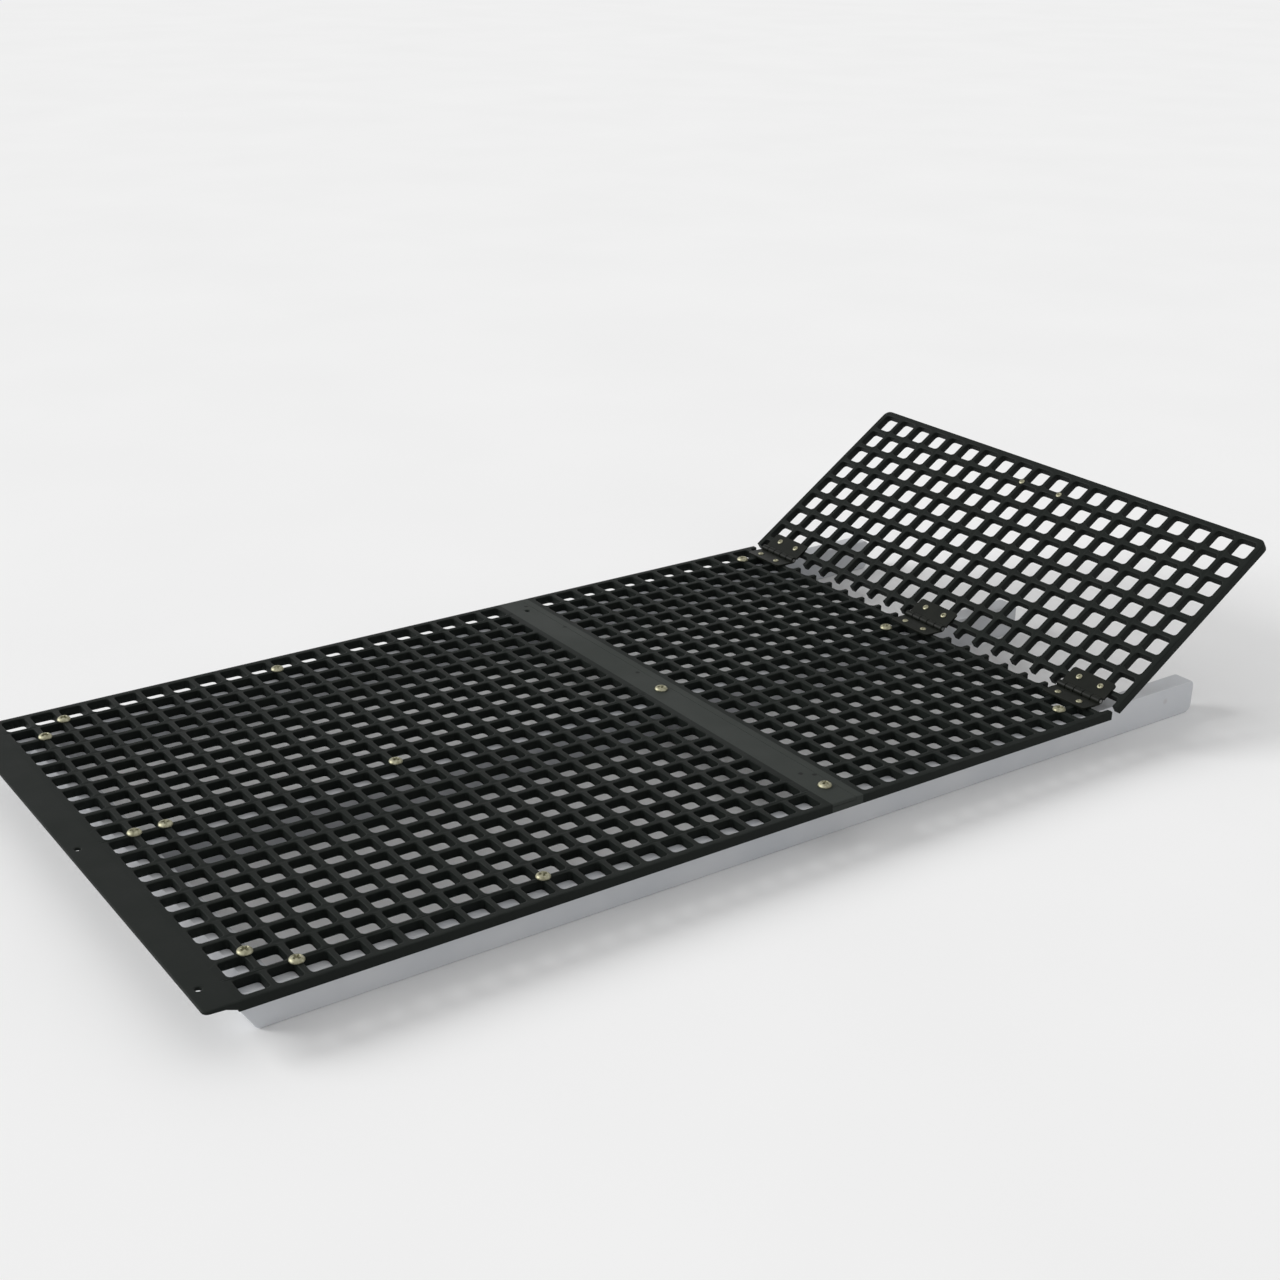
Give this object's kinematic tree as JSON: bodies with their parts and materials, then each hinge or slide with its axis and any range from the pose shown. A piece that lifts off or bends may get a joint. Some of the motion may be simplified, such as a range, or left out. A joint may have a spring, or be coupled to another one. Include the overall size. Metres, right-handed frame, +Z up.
{
  "type": "plastic grating deck panel with hinged end flap",
  "caption": "Black open-grid plastic deck panel screwed to light grey rails, with a sawn-off end flap on butt hinges.",
  "frame": {"origin": "on the floor, below the middle hole of the lap that joins the two deck panels", "axes": "+X along the rails towards the flap, +Y across them away from the near rail, +Z up"},
  "size_m": [1.0414, 0.507, 0.1641],
  "materials": {
    "black_plastic": "satin moulded",
    "grey_plastic": "matt",
    "black_hinge": "satin black",
    "zinc": "zinc plated",
    "hinge_pin": "worn"
  },
  "bodies": {
    "deck": {"full_panel": "black_plastic", "sawn_panel": "black_plastic", "near_rail": "grey_plastic", "middle_rail": "grey_plastic", "far_rail": "grey_plastic", "end_batten": "grey_plastic", "near_deck_leaf": "black_hinge", "middle_deck_leaf": "black_hinge", "far_deck_leaf": "black_hinge", "near_pin": "hinge_pin", "middle_pin": "hinge_pin", "far_pin": "hinge_pin"},
    "flap": {"flap_panel": "black_plastic", "near_flap_leaf": "black_hinge", "middle_flap_leaf": "black_hinge", "far_flap_leaf": "black_hinge"}
  },
  "joints": [
    {"name": "flap_hinge", "type": "hinge", "parent": "deck", "child": "flap", "pos_m": [0.3085, 0, 0.0432], "axis": [0, -1, 0], "range_deg": [-34.5, 130.5]}
  ]
}
